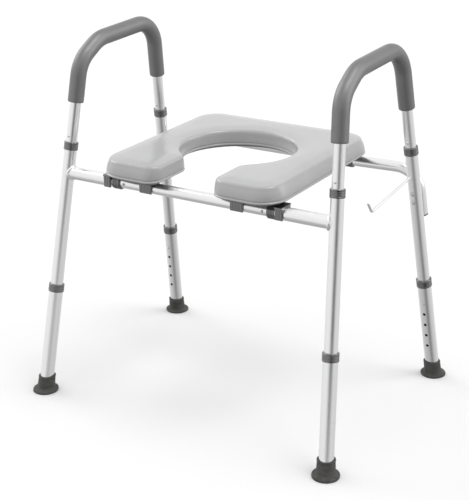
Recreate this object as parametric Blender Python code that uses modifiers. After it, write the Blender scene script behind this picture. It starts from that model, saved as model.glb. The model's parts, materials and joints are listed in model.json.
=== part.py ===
"""Bath stool with arms: a knock-down aluminium frame on four splayed telescopic legs,
with two foam-covered arms, a front crossbar, a bent rear bar, a padded U-shaped seat that
clips onto both bars and a wire for a toilet roll.

Metres, +Z up, origin on the floor under the middle. The seat opens to the front, -Y.
Left is -X and right is +X.
"""
import math

import bmesh
import bpy
from mathutils import Matrix, Vector

# Driving dimensions -------------------------------------------------------------------
GAP = 0.0003                # clearance between pieces that touch or slide
WALL = 0.0013               # wall of every tube
ARM_R = 0.0111              # 22.2 mm tube: arms, crossbar tube and rear bar
LEG_R = 0.0127              # 25.4 mm tube: leg tubes and crossbar stubs
LOWER_R = 0.0143            # 28.6 mm tube: lower legs

FOOT_X = 0.3325             # where the leg axes meet the floor
FOOT_Y = 0.243
SPLAY_X = 0.065             # inward lean of the legs for each metre of height
SPLAY_Y = 0.174
LEAN = math.sqrt(1 + SPLAY_X**2 + SPLAY_Y**2)     # length along a leg per metre of height

LEG_TUBE_BOTTOM_Z = 0.163
LOWER_LEG_BOTTOM_Z = 0.0115
LOWER_COLLAR_Z = 0.2225
UPPER_COLLAR_Z = 0.514
COLLAR_HEIGHT = 0.016
COLLAR_LIP = 0.003          # the ring above the outer tube's end, around the inner tube
COLLAR_WALL = 0.0014
FOOT_FLOOR_Z = 0.0075       # thickness of rubber under the lower leg
FOOT_RIM_Z = 0.033
FOOT_BORE_R = 0.01485
FOOT_SLEEVE_R = 0.018
FLANGE_R = 0.0265

HOLE_R = 0.0031
HOLE_PITCH = 0.0254         # height adjustment holes of the lower legs
HOLE_COUNT = 5
LEG_BUTTON_Z = 0.178
ARM_BUTTON_Z = 0.5335
BUTTON_R = 0.0027
BUTTON_HEAD_R = 0.0036
BUTTON_PROUD = 0.0025

ARM_BOTTOM_Z = 0.472        # lower ends of the arm tubes, inside the leg tubes
ARM_LOW_BEND_Z = 0.679      # corners of the arm's centre line, before they are rounded
ARM_SLOPE_TOP = (-0.066, 0.7145)
ARM_REAR_BEND_Z = 0.7235
ARM_BENDS = (0.060, 0.080, 0.062)
GRIP_R = 0.016
GRIP_BOTTOM_Z = 0.600

BAR_Z = 0.461               # height of the crossbar
STUB_COLLAR_X = 0.1745
CROSSBAR_HALF = 0.2125
CROSSBAR_BUTTON_X = 0.1565
REAR_BAR_Z = 0.467
REAR_BAR_BEND = 0.050
REAR_BAR_BOW = 0.009        # its middle runs this far in front of its ends
REAR_BAR_BOW_X = 0.172      # where the slanted ends begin
REAR_BAR_BOTTOM_Z = 0.372
RIVET_HEIGHTS = (0.4255, 0.4075)

SEAT_HALF_X = 0.200
SEAT_FRONT_Y = -0.205
SEAT_REAR_Y = 0.196
SEAT_CORNER = 0.052
FRONT_RISE = 0.0155         # the base's underside above the front bar's axis
REAR_RISE = 0.0165          # and above the rear bar's: the higher bar tips the seat forward
BASE_THICKNESS = 0.006
BASE_INSET = 0.006
CUSHION_THICKNESS = 0.035
CUSHION_EDGE = 0.009
OVAL_HALF_X = 0.116
OVAL_HALF_Y = 0.108
OVAL_CENTRE_Y = -0.002
OVAL_OPEN_DEG = 45          # the oval ends this far below its widest points
MOUTH_HALF_X = 0.060
LOBE_CORNER = 0.030
NOSE_CORNER = 0.030
CLIP_WALL = 0.002
CLIP_PLATE_HALF = 0.017
CLIP_PLATE = 0.0025
SIDE_CLIP_X, SIDE_CLIP_WIDTH = 0.1935, 0.016
MIDDLE_CLIP_X, MIDDLE_CLIP_WIDTH = 0.103, 0.028
REAR_CLIP_X, REAR_CLIP_WIDTH = 0.155, 0.020

ROD_R = 0.0026              # toilet roll wire
ROD_Z = 0.463
ROD_LENGTH = 0.172
ROD_TIP = 0.029
ROD_DROP_DEG = 7.2
ROD_TIP_RISE_DEG = 52

TUBE_SIDES = 20
BENT_SIDES = 16
SMALL_SIDES = 10
TURN_STEP_DEG = 14          # one straight facet of a bend

SIDES = {"left": -1, "right": 1}
ENDS = {"front": -1, "rear": 1}

for leftover in list(bpy.data.objects):
    bpy.data.objects.remove(leftover)


def new_collection(name):
    made = bpy.data.collections.new(name)
    bpy.context.scene.collection.children.link(made)
    return made


def new_material(name, colour, roughness, metallic=0.0):
    material = bpy.data.materials.new(name)
    material.use_nodes = True
    shader = material.node_tree.nodes["Principled BSDF"]
    shader.inputs["Base Color"].default_value = (*colour, 1)
    shader.inputs["Roughness"].default_value = roughness
    shader.inputs["Metallic"].default_value = metallic
    return material


parts = new_collection("bath_stool")
cutters = new_collection("cutters")
ALUMINIUM = new_material("satin_aluminium", (0.80, 0.81, 0.82), 0.3, 1.0)
STEEL = new_material("bright_steel", (0.72, 0.72, 0.73), 0.2, 1.0)
DARK_PLASTIC = new_material("dark_grey_plastic", (0.10, 0.10, 0.105), 0.5)
GRIP_FOAM = new_material("grey_grip_foam", (0.16, 0.165, 0.17), 0.8)
FOOT_RUBBER = new_material("dark_rubber", (0.07, 0.07, 0.068), 0.7)
SEAT_FOAM = new_material("light_grey_seat_foam", (0.55, 0.55, 0.56), 0.6)
BOARD = new_material("black_board", (0.03, 0.03, 0.03), 0.6)


# Placing ------------------------------------------------------------------------------
def frame_of(x_axis, y_axis, z_axis, origin=(0, 0, 0)):
    turn = Matrix((x_axis, y_axis, z_axis)).transposed().to_4x4()
    return Matrix.Translation(origin) @ turn


def place(obj, frame, parent=None):
    """Puts an object at a frame in its parent's space, or in the world."""
    obj.parent = parent
    obj.matrix_basis = frame
    return obj


def new_empty(name, frame):
    empty = bpy.data.objects.new(name, None)
    parts.objects.link(empty)
    return place(empty, frame)


def add_mesh(name, mesh, material, collection):
    obj = bpy.data.objects.new(name, mesh)
    collection.objects.link(obj)
    if material:
        mesh.materials.append(material)
    return obj


def leg_point(side, end, height):
    """The point of a leg's axis at a height."""
    return Vector((side * (FOOT_X - SPLAY_X * height), end * (FOOT_Y - SPLAY_Y * height), height))


def leg_frame(side, end):
    """Z runs up the leg from the floor, and Y is square to the leg, pointing to the rear."""
    up = Vector((-side * SPLAY_X, -end * SPLAY_Y, 1)).normalized()
    back = (Vector((0, 1, 0)) - up * up.y).normalized()
    return frame_of(back.cross(up), back, up, leg_point(side, end, 0))


def across(height, direction):
    """In a tube's own frame: Z points square out of the tube, along its Y times direction."""
    return frame_of((-direction, 0, 0), (0, 0, 1), (0, direction, 0), (0, 0, height))


# Shapes -------------------------------------------------------------------------------
def baked(obj):
    """Swaps an object for the mesh that its curve or its modifiers make."""
    bpy.context.view_layer.update()
    evaluated = obj.evaluated_get(bpy.context.evaluated_depsgraph_get())
    mesh = bpy.data.meshes.new_from_object(evaluated)
    name = obj.name
    bpy.data.objects.remove(obj)
    bm = bmesh.new()
    bm.from_mesh(mesh)
    bmesh.ops.remove_doubles(bm, verts=bm.verts, dist=0.00001)
    bm.to_mesh(mesh)
    bm.free()
    mesh.shade_smooth()
    mesh.set_sharp_from_angle(angle=math.radians(40))
    return add_mesh(name, mesh, None, parts)


def turned(name, material, profile, sides=TUBE_SIDES, closed=True):
    """A turned piece from (radius, height) points, down its outer side.

    A closed profile makes a ring or a tube, and an open one starts and ends on the axis.
    """
    mesh = bpy.data.meshes.new(name)
    count = len(profile)
    edges = [(i, (i + 1) % count) for i in range(count if closed else count - 1)]
    mesh.from_pydata([(radius, 0, height) for radius, height in profile], edges, [])
    obj = add_mesh(name, mesh, material, parts)
    screw = obj.modifiers.new("turn", "SCREW")
    screw.steps = screw.render_steps = sides
    screw.use_merge_vertices = True
    screw.merge_threshold = 0.00001
    screw.use_smooth_shade = True
    return obj


def straight_tube(name, material, radius, bottom, top):
    bore = radius - WALL
    return turned(name, material, [(radius, top), (radius, bottom), (bore, bottom), (bore, top)])


def collar(name, centre, tube_r, inner_r):
    """A plastic bush over the end of a tube, with a lip around the tube inside it."""
    top, bottom = centre + COLLAR_HEIGHT / 2, centre - COLLAR_HEIGHT / 2
    seat, slide, outer = tube_r + GAP, inner_r + GAP, tube_r + GAP + COLLAR_WALL
    return turned(name, DARK_PLASTIC, [
        (outer, top), (outer, bottom), (seat, bottom), (seat, top - COLLAR_LIP),
        (slide, top - COLLAR_LIP), (slide, top),
    ])


def tube_top_in_collar(centre):
    return centre + COLLAR_HEIGHT / 2 - COLLAR_LIP - GAP


def snap_button(name, tube_r, bore):
    """A domed steel button: its head stays behind the wall of the tube that carries it."""
    tip, head = tube_r + BUTTON_PROUD, bore - 0.0011
    return turned(name, STEEL, [
        (0, tip), (0.0013, tip - 0.0003), (0.0023, tip - 0.0011), (BUTTON_R, tip - 0.0022),
        (BUTTON_R, head), (BUTTON_HEAD_R, head), (BUTTON_HEAD_R, head - 0.0008),
        (0, head - 0.0008),
    ], SMALL_SIDES, closed=False)


def drill(obj, name, heights, start, end, frame=None, parent=None, radius=HOLE_R):
    """Drills an object along its tube's Y at each height, from start to end."""
    bm = bmesh.new()
    for height in heights:
        spot = Matrix.Translation((0, (start + end) / 2, height))
        bmesh.ops.create_cone(
            bm, cap_ends=True, segments=SMALL_SIDES, radius1=radius, radius2=radius,
            depth=abs(end - start), matrix=spot @ Matrix.Rotation(math.pi / 2, 4, "X"),
        )
    mesh = bpy.data.meshes.new(name)
    bm.to_mesh(mesh)
    bm.free()
    cutter = add_mesh(name, mesh, None, cutters)
    place(cutter, frame or Matrix(), parent)
    cut(obj, cutter)


def cut(obj, cutter):
    cutter.hide_render = True
    cutter.display_type = "WIRE"
    boolean = obj.modifiers.new("cut", "BOOLEAN")
    boolean.operation = "DIFFERENCE"
    boolean.solver = "EXACT"
    boolean.object = cutter


def arc(centre, radius, start_deg, end_deg, steps, half_y=None):
    """Points along an arc, or along an oval if its other half-width is given."""
    for k in range(steps + 1):
        angle = math.radians(start_deg + (end_deg - start_deg) * k / steps)
        yield Vector((centre[0] + radius * math.cos(angle),
                      centre[1] + (half_y or radius) * math.sin(angle), 0))


def rounded(corners, radii):
    """A path's points, with an arc of the given radius at each corner."""
    corners = [Vector(corner) for corner in corners]
    path = []
    for i, (corner, radius) in enumerate(zip(corners, radii)):
        if not radius:
            path.append(corner)
            continue
        back = (corners[i - 1] - corner).normalized()
        ahead = (corners[(i + 1) % len(corners)] - corner).normalized()
        turn = math.pi - back.angle(ahead)
        centre = corner + (back + ahead).normalized() * radius / math.cos(turn / 2)
        reach = radius * math.tan(turn / 2)
        start, end = corner + back * reach - centre, corner + ahead * reach - centre
        steps = max(1, round(math.degrees(turn) / TURN_STEP_DEG))
        for k in range(steps + 1):
            share = k / steps * turn
            spoke = start * math.sin(turn - share) + end * math.sin(share)
            path.append(centre + spoke / math.sin(turn))
    return path


def swept(name, material, path, radius, wall=0.0, sides=BENT_SIDES):
    """A round bar along a path, or a tube if it has a wall."""
    curve = bpy.data.curves.new(name, "CURVE")
    curve.dimensions = "3D"
    curve.bevel_depth = radius
    curve.bevel_resolution = (sides - 4) // 2
    curve.use_fill_caps = not wall
    curve.materials.append(material)
    spline = curve.splines.new("POLY")
    spline.points.add(len(path) - 1)
    for point, spot in zip(spline.points, path):
        point.co = (*spot, 1)
    obj = bpy.data.objects.new(name, curve)
    parts.objects.link(obj)
    if wall:
        shell = obj.modifiers.new("wall", "SOLIDIFY")
        shell.thickness = wall
        shell.offset = -1
    return baked(obj)


def flat(name, material, outlines, thickness, edge=0.0):
    """A flat piece around its own XY plane; any outline after the first is a hole."""
    curve = bpy.data.curves.new(name, "CURVE")
    curve.dimensions = "2D"
    curve.fill_mode = "BOTH"
    curve.extrude = thickness / 2 - edge
    curve.bevel_depth, curve.bevel_resolution, curve.offset = edge, 1, -edge
    curve.materials.append(material)
    for outline in outlines:
        spline = curve.splines.new("POLY")
        spline.use_cyclic_u = True
        spline.points.add(len(outline) - 1)
        for point, spot in zip(spline.points, outline):
            point.co = (spot[0], spot[1], 0, 1)
    obj = bpy.data.objects.new(name, curve)
    parts.objects.link(obj)
    return obj


# Legs ---------------------------------------------------------------------------------
def add_foot(name, side, end):
    """A rubber foot, turned upright and sheared, so the sole is flat and the sleeve leans."""
    foot = baked(turned(name, FOOT_RUBBER, [
        (0, FOOT_FLOOR_Z), (FOOT_BORE_R, FOOT_FLOOR_Z), (FOOT_BORE_R, FOOT_RIM_Z),
        (FOOT_SLEEVE_R, FOOT_RIM_Z), (FOOT_SLEEVE_R + 0.0004, 0.0095),
        (FOOT_SLEEVE_R + 0.0018, 0.0062), (FLANGE_R - 0.0018, 0.0050),
        (FLANGE_R, 0.0034), (FLANGE_R, 0), (0, 0),
    ], TUBE_SIDES + 4, closed=False))
    shear = Matrix()
    shear[0][2], shear[1][2] = -side * SPLAY_X, -end * SPLAY_Y
    foot.data.transform(shear)
    return foot


def add_leaf_spring(name, frame, parent):
    """A V of spring steel: one leaf pushes the button, the other rests on the far wall."""
    reach, half_width = 0.0086, 0.0035
    line = rounded([(reach, -0.005, 0), (reach, 0.004, 0), (0, 0.028, 0), (-reach, -0.004, 0)],
                   (0, 0.004, 0.002, 0))
    verts = [(edge, y, x) for x, y, _ in line for edge in (-half_width, half_width)]
    faces = [(i, i + 1, i + 3, i + 2) for i in range(0, len(verts) - 2, 2)]
    mesh = bpy.data.meshes.new(name)
    mesh.from_pydata(verts, [], faces)
    spring = add_mesh(name, mesh, STEEL, parts)
    sheet = spring.modifiers.new("sheet", "SOLIDIFY")
    sheet.thickness = 0.0007
    sheet.offset = 0
    return place(spring, frame, parent)


def add_leg(end_name, side_name):
    end, side, where = ENDS[end_name], SIDES[side_name], f"{end_name}_{side_name}"
    axis = new_empty(f"{where}_leg_axis", leg_frame(side, end))
    inward = -end           # the adjustment holes face the middle of the stool

    leg_top = tube_top_in_collar(UPPER_COLLAR_Z * LEAN)
    leg = straight_tube(f"leg_tube_{where}", ALUMINIUM, LEG_R, LEG_TUBE_BOTTOM_Z * LEAN, leg_top)
    place(leg, Matrix(), axis)
    place(collar(f"upper_collar_{where}", UPPER_COLLAR_Z * LEAN, LEG_R, ARM_R), Matrix(), axis)

    button_s = LEG_BUTTON_Z * LEAN
    drill(leg, f"button_hole_{where}", [button_s], 0, inward * 0.02, parent=axis)
    button = snap_button(f"leg_button_{where}", LOWER_R, LEG_R - WALL)
    place(button, across(button_s, inward), axis)
    add_leaf_spring(f"leg_spring_{where}", across(button_s, inward), axis)

    lower_top = tube_top_in_collar(LOWER_COLLAR_Z * LEAN)
    lower = straight_tube(f"lower_leg_{where}", ALUMINIUM, LOWER_R, LOWER_LEG_BOTTOM_Z * LEAN,
                          lower_top)
    place(lower, Matrix(), axis)
    holes = [button_s - i * HOLE_PITCH for i in range(HOLE_COUNT)]
    drill(lower, f"adjustment_holes_{where}", holes, 0, inward * 0.02, parent=axis)
    place(collar(f"lower_collar_{where}", LOWER_COLLAR_Z * LEAN, LOWER_R, LEG_R), Matrix(), axis)

    upright = frame_of((1, 0, 0), (0, 1, 0), (0, 0, 1), leg_point(side, end, 0))
    world_foot = axis.matrix_basis.inverted() @ upright
    place(add_foot(f"foot_{where}", side, end), world_foot, axis)

    arm_button = snap_button(f"arm_button_{where}", ARM_R, ARM_R - WALL)
    place(arm_button, across(ARM_BUTTON_Z * LEAN, -1), axis)
    return axis, leg


# Arms ---------------------------------------------------------------------------------
def arm_path(side, bottom):
    slope_y, slope_z = ARM_SLOPE_TOP
    slope = (side * (FOOT_X - SPLAY_X * slope_z), slope_y, slope_z)
    corners = [leg_point(side, -1, bottom), leg_point(side, -1, ARM_LOW_BEND_Z), slope,
               leg_point(side, 1, ARM_REAR_BEND_Z), leg_point(side, 1, bottom)]
    return rounded(corners, (0, *ARM_BENDS, 0))


def add_arm(side_name):
    side = SIDES[side_name]
    arm = swept(f"arm_tube_{side_name}", ALUMINIUM, arm_path(side, ARM_BOTTOM_Z), ARM_R, WALL)
    for end_name, end in ENDS.items():
        drill(arm, f"arm_button_hole_{end_name}_{side_name}", [ARM_BUTTON_Z * LEAN], 0, -0.02,
              frame=leg_frame(side, end))
    swept(f"foam_grip_{side_name}", GRIP_FOAM, arm_path(side, GRIP_BOTTOM_Z), GRIP_R,
          GRIP_R - ARM_R - GAP)


# Crossbar -----------------------------------------------------------------------------
def add_stub(side_name):
    """A short tube welded to the front leg. Its frame's Z points to the middle."""
    side = SIDES[side_name]
    root = leg_point(side, -1, BAR_Z)
    frame = frame_of((0, 0, side), (0, 1, 0), (-side, 0, 0), root)
    collar_s = abs(root.x) - STUB_COLLAR_X
    name = f"crossbar_stub_{side_name}"
    stub = place(straight_tube(name, ALUMINIUM, LEG_R, 0, tube_top_in_collar(collar_s)), frame)
    bm = bmesh.new()
    bmesh.ops.create_cone(bm, cap_ends=True, segments=2 * TUBE_SIDES, radius1=LEG_R + GAP,
                          radius2=LEG_R + GAP, depth=0.08)
    mesh = bpy.data.meshes.new(f"cope_{side_name}")
    bm.to_mesh(mesh)
    bm.free()
    cope = add_mesh(f"cope_{side_name}", mesh, None, cutters)
    cut(stub, place(cope, leg_frame(side, -1) @ Matrix.Translation((0, 0, BAR_Z * LEAN))))
    place(collar(f"crossbar_collar_{side_name}", collar_s, LEG_R, ARM_R), frame)


def add_crossbar():
    middle = (0, leg_point(1, -1, BAR_Z).y, BAR_Z)
    frame = frame_of((0, 0, -1), (0, 1, 0), (1, 0, 0), middle)
    tube = straight_tube("crossbar_tube", ALUMINIUM, ARM_R, -CROSSBAR_HALF, CROSSBAR_HALF)
    place(tube, frame)
    spots = [side * CROSSBAR_BUTTON_X for side in SIDES.values()]
    drill(tube, "crossbar_button_holes", spots, 0, -0.02, frame=frame)
    for side_name, side in SIDES.items():
        button = snap_button(f"crossbar_button_{side_name}", ARM_R, ARM_R - WALL)
        place(button, frame @ across(side * CROSSBAR_BUTTON_X, -1))


# Rear bar -----------------------------------------------------------------------------
BAR_OFFSET = LEG_R + ARM_R + GAP        # from the rear leg's axis back to the bar's


def behind_leg(side, height):
    """The point behind a rear leg where the bar's bent end passes a height."""
    frame = leg_frame(side, 1)
    start = frame @ Vector((0, BAR_OFFSET, 0))
    up = frame.col[2].to_3d()
    return start + up * (height - start.z) / up.z


def add_rear_bar(axes, legs):
    ends = [behind_leg(side, REAR_BAR_BOTTOM_Z) for side in (-1, 1)]
    corners = [behind_leg(side, REAR_BAR_Z) for side in (-1, 1)]
    bar_y = corners[0].y - REAR_BAR_BOW
    middle = [Vector((side * REAR_BAR_BOW_X, bar_y, REAR_BAR_Z)) for side in (-1, 1)]
    path = rounded([ends[0], corners[0], *middle, corners[1], ends[1]],
                   (0, REAR_BAR_BEND, 0.12, 0.12, REAR_BAR_BEND, 0))
    bar = swept("rear_bar", ALUMINIUM, path, ARM_R, WALL)
    heights = [z * LEAN for z in RIVET_HEIGHTS]
    head, tail = LEG_R + GAP, -(BAR_OFFSET + ARM_R + GAP)
    for i, (side_name, side) in enumerate(SIDES.items()):
        drill(bar, f"bar_rivet_holes_{side_name}", heights, 0, 0.05, frame=leg_frame(side, 1))
        drill(legs[side_name], f"leg_rivet_holes_{side_name}", heights, -0.02, 0.02,
              parent=axes[side_name])
        for level, height in zip(("upper", "lower"), heights):
            rivet = turned(f"{level}_rivet_{side_name}", STEEL, [
                (0, head + 0.0020), (0.0022, head + 0.0017), (0.0040, head + 0.0006),
                (0.0044, head), (0.0025, head), (0.0025, tail), (0.0040, tail),
                (0.0036, tail - 0.0012), (0, tail - 0.0014),
            ], SMALL_SIDES + 2, closed=False)
            place(rivet, across(height, -1), axes[side_name])
        top, spigot = ends[i], ARM_R - WALL - GAP
        up = leg_frame(side, 1).to_3x3().to_4x4()
        plug = turned(f"rear_bar_plug_{side_name}", DARK_PLASTIC, [
            (0, 0.010), (spigot - 0.0008, 0.010), (spigot, 0.008), (spigot, -GAP),
            (ARM_R + 0.0003, -GAP), (ARM_R + 0.0003, -0.0024), (ARM_R - 0.001, -0.0034),
            (0, -0.0034),
        ], BENT_SIDES, closed=False)
        place(plug, Matrix.Translation(top) @ up)
    return bar_y


def add_roll_rod(leg):
    """The wire stands out of the right rear leg's front and turns up at its tip."""
    root = leg_frame(1, 1) @ Vector((0, 0, ROD_Z * LEAN))
    drop, rise = math.radians(ROD_DROP_DEG), math.radians(ROD_TIP_RISE_DEG)
    out = Vector((0, -math.cos(drop), -math.sin(drop)))
    along = frame_of((1, 0, 0), -out, (0, out.z, -out.y), root)
    drill(leg, "rod_hole", [0], 0, -0.02, along, radius=ROD_R + 2 * GAP)
    bend = root + out * (LEG_R + ROD_LENGTH)
    tip = bend + Vector((0, -math.cos(rise), math.sin(rise))) * ROD_TIP
    path = rounded([root + out * (LEG_R - WALL - 0.0015), bend, tip], (0, 0.008, 0))
    swept("toilet_roll_wire", STEEL, path, ROD_R, sides=8)


# Seat ---------------------------------------------------------------------------------
def seat_outline(inset):
    """The seat's U seen from above, anticlockwise, pulled in all round by inset."""
    half, front, rear = SEAT_HALF_X - inset, SEAT_FRONT_Y + inset, SEAT_REAR_Y - inset
    mouth, oval_x, oval_y = MOUTH_HALF_X + inset, OVAL_HALF_X + inset, OVAL_HALF_Y + inset
    low = math.radians(OVAL_OPEN_DEG)
    # the oval's tangent at its lowest point runs on to the mouth's side: the nose's corner
    end_x, end_y = oval_x * math.cos(low), OVAL_CENTRE_Y - oval_y * math.sin(low)
    nose_y = end_y - (end_x - mouth) * oval_y * math.cos(low) / (oval_x * math.sin(low))
    start, stop = -OVAL_OPEN_DEG, 180 + OVAL_OPEN_DEG
    oval = list(arc((0, OVAL_CENTRE_Y), oval_x, stop, start, 22, oval_y))
    corners = [(mouth, front, 0), (half, front, 0), (half, rear, 0), (-half, rear, 0),
               (-half, front, 0), (-mouth, front, 0), (-mouth, nose_y, 0), *oval,
               (mouth, nose_y, 0)]
    radii = [LOBE_CORNER, *4 * [SEAT_CORNER], LOBE_CORNER, NOSE_CORNER, *len(oval) * [0],
             NOSE_CORNER]
    return rounded(corners, radii)


def plate_side(edge, rise):
    """Half of a clip's top plate, from its cheek outwards and up to the seat base."""
    top = rise - GAP
    return [(edge, top - CLIP_PLATE, 0), (CLIP_PLATE_HALF, top - CLIP_PLATE, 0),
            (CLIP_PLATE_HALF, top, 0)]


def mirrored(points):
    return [(-x, y, z) for x, y, z in reversed(points)]


def saddle_outlines(bar_r, rise):
    """A clip that sits on the front bar with straight cheeks and lifts off with the seat."""
    inner = bar_r + 0.0005
    low, outer = -0.75 * bar_r, inner + CLIP_WALL
    side = [(inner, low, 0), (outer, low, 0), *plate_side(outer, rise)]
    return [[*side, *mirrored(side), *arc((0, 0), inner, 180, 0, 12)]]


def ring_outlines(bar_r, rise):
    """A clip that closes around the rear bar and turns on it."""
    inner = bar_r + GAP
    outer = inner + CLIP_WALL + 0.001
    ring = list(arc((0, 0), outer, 180, 360, 12))
    return [[*ring, *plate_side(outer, rise), *mirrored(plate_side(outer, rise))],
            list(arc((0, 0), inner, 18, 360, 19))]


def add_seat(bar_y):
    reach, climb = bar_y - leg_point(1, -1, BAR_Z).y, REAR_BAR_Z - BAR_Z
    tilt = math.atan2(climb, reach) + math.asin((REAR_RISE - FRONT_RISE)
                                                / math.hypot(reach, climb))
    hinge = new_empty("seat_hinge", frame_of((1, 0, 0), (0, math.cos(tilt), math.sin(tilt)),
                                             (0, -math.sin(tilt), math.cos(tilt)),
                                             (0, bar_y, REAR_BAR_Z)))
    front_bar = (-reach * math.cos(tilt) - climb * math.sin(tilt), REAR_RISE - FRONT_RISE)

    def sheet(name, material, inset, bottom, thickness, edge=0.0):
        piece = flat(name, material, [seat_outline(inset)], thickness, edge)
        place(piece, Matrix.Translation((0, -bar_y, bottom + thickness / 2)), hinge)

    def clip(name, outlines, x, width, bar=(0, 0)):
        piece = flat(name, DARK_PLASTIC, outlines, width)
        place(piece, frame_of((0, 1, 0), (0, 0, 1), (1, 0, 0), (x, *bar)), hinge)

    sheet("seat_base", BOARD, BASE_INSET, REAR_RISE, BASE_THICKNESS)
    sheet("seat_cushion", SEAT_FOAM, 0, REAR_RISE + BASE_THICKNESS + GAP, CUSHION_THICKNESS,
          CUSHION_EDGE)
    for side_name, side in SIDES.items():
        clip(f"side_seat_clip_{side_name}", saddle_outlines(LEG_R, FRONT_RISE),
             side * SIDE_CLIP_X, SIDE_CLIP_WIDTH, front_bar)
        clip(f"middle_seat_clip_{side_name}", saddle_outlines(ARM_R, FRONT_RISE),
             side * MIDDLE_CLIP_X, MIDDLE_CLIP_WIDTH, front_bar)
        clip(f"rear_seat_clip_{side_name}", ring_outlines(ARM_R, REAR_RISE),
             side * REAR_CLIP_X, REAR_CLIP_WIDTH)


# The whole stool ----------------------------------------------------------------------
rear_axes, rear_legs = {}, {}
for side_name in SIDES:
    add_leg("front", side_name)
    rear_axes[side_name], rear_legs[side_name] = add_leg("rear", side_name)
    add_arm(side_name)
    add_stub(side_name)
add_crossbar()
hinge_y = add_rear_bar(rear_axes, rear_legs)
add_roll_rod(rear_legs["right"])
add_seat(hinge_y)
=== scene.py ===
"""Looks of the bath stool: its tubes, collars, clips, feet, foam grips and moulded seat
cushion in full detail, their procedural materials, the studio and the camera.

Metres, +Z up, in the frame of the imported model. Left is -X and right is +X.
"""
import json
import math

import bmesh
import bpy
from mathutils import Matrix, Vector


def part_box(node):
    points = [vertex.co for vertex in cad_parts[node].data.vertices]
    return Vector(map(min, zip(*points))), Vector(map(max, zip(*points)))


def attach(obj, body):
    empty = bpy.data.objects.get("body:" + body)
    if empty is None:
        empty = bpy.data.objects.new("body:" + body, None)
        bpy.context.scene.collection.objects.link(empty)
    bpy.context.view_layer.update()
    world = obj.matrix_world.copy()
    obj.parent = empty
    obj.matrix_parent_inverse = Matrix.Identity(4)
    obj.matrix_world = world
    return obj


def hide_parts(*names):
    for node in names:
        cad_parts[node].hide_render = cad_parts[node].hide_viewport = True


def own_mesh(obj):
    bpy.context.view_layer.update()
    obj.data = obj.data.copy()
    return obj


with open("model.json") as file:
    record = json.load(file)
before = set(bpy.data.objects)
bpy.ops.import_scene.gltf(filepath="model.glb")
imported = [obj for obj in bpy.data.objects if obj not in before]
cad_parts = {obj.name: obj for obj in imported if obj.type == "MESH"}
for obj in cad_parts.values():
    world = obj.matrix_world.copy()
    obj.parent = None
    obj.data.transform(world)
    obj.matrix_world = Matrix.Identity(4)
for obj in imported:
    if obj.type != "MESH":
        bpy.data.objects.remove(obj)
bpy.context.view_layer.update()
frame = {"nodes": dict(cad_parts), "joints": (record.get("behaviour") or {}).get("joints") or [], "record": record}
NODES = frame["nodes"]
JOINTS = {joint["name"]: joint for joint in frame["joints"]}
SOLES = {mount["name"]: Vector(mount["pos_m"]) for mount in frame["record"]["mounts"]}
SIDES = {"left": -1, "right": 1}
ENDS = {"front": -1, "rear": 1}
LEGS = [f"{end}_{side}" for end in ENDS for side in SIDES]

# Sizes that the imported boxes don't give ------------------------------------------------
GAP = 0.0003                    # clearance between neighbours
WALL = 0.0013                   # wall of every tube
TUBE_EDGE = 0.00035             # rounding of a tube's deburred ends
ROUND = 56                      # sides of a tube
HOLE_SIDES = 24
HOLE_R = 0.0031                 # holes for the snap buttons
HOLE_PITCH = 0.0254
HOLE_COUNT = 5
DRILL = (0.004, 0.02)           # how far off a tube's axis a hole starts and ends
RIVET_R = 0.0025
RIVET_HOLE_R = 0.0026
BUTTON_R = 0.0027
BUTTON_DOME = 0.0022
BUTTON_HEAD_R = 0.0036
BUTTON_HEAD = 0.0008

ARM_R = 0.0111
ARM_LOW_BEND_Z = 0.679          # corners of the arm's centre line, before they are rounded
ARM_SLOPE_TOP = (-0.066, 0.7145)
ARM_REAR_BEND_Z = 0.7235
ARM_BENDS = (0.060, 0.080, 0.062)
GRIP_R = 0.016
GRIP_EDGE = 0.0028              # rounding of the foam's ends

STUB_CUT = (0.40, 0.53)         # stretch of the leg's axis that the stub's saddle clears
WELD_STEPS = 96
WELD_LIFT = 0.0004              # the bead's centre stands this far off both tubes
WELD_FOLLOW = 0.35              # a filled weld is flatter than the saddle itself
WELD_R = 0.0023
WELD_RIPPLE = 0.00022
WELD_RIPPLES = 26

REAR_BAR_END_Z = 0.372
REAR_BAR_BEND = 0.050
REAR_BAR_BOW_X = 0.172
REAR_BAR_BOW_BEND = 0.12
ROD_Z = 0.463                   # the toilet roll wire
ROD_R = 0.0026
ROD_LENGTH = 0.172
ROD_BEND = 0.008
ROD_TIP = 0.029
ROD_DROP = math.radians(7.2)
ROD_TIP_RISE = math.radians(52)

SEAT_CORNER = 0.052
OVAL_HALF_X = 0.116             # the seat's opening
OVAL_HALF_Y = 0.108
OVAL_CENTRE_Y = -0.002
OVAL_OPEN = math.radians(45)
MOUTH_HALF_X = 0.060
LOBE_CORNER = 0.030
NOSE_CORNER = 0.030
CROWN = 0.0028                  # the cushion's top stands this far above its shoulder
CUSHION_EDGE_R = 0.0078
CUSHION_LEAN = math.radians(14)
CROWN_INSETS = (0.038, 0.033)   # where the crown levels out, from the rim and the opening
BASE_INSET = 0.006
CLIP_WALL = 0.002
CLIP_PLATE = 0.0025
CLIP_PLATE_HALF = 0.017
CLIP_RIB = 0.0009


# Frames and measures -------------------------------------------------------------------
def frame_of(x_axis, y_axis, z_axis, origin=(0, 0, 0)):
    """A frame from its three axes and its origin."""
    turn = Matrix((x_axis, y_axis, z_axis)).transposed().to_4x4()
    return Matrix.Translation(origin) @ turn


def leg_frame(where):
    """A leg's frame: Z up along the leg from the middle of its sole, Y towards the rear."""
    up = Vector(JOINTS[f"leg_height_{where}"]["axis"]).normalized()
    back = Vector(JOINTS[f"arm_button_press_{where}"]["axis"]).normalized()
    return frame_of(back.cross(up), back, up, SOLES[f"sole_{where}"])


LEG_FRAMES = {where: leg_frame(where) for where in LEGS}


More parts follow.
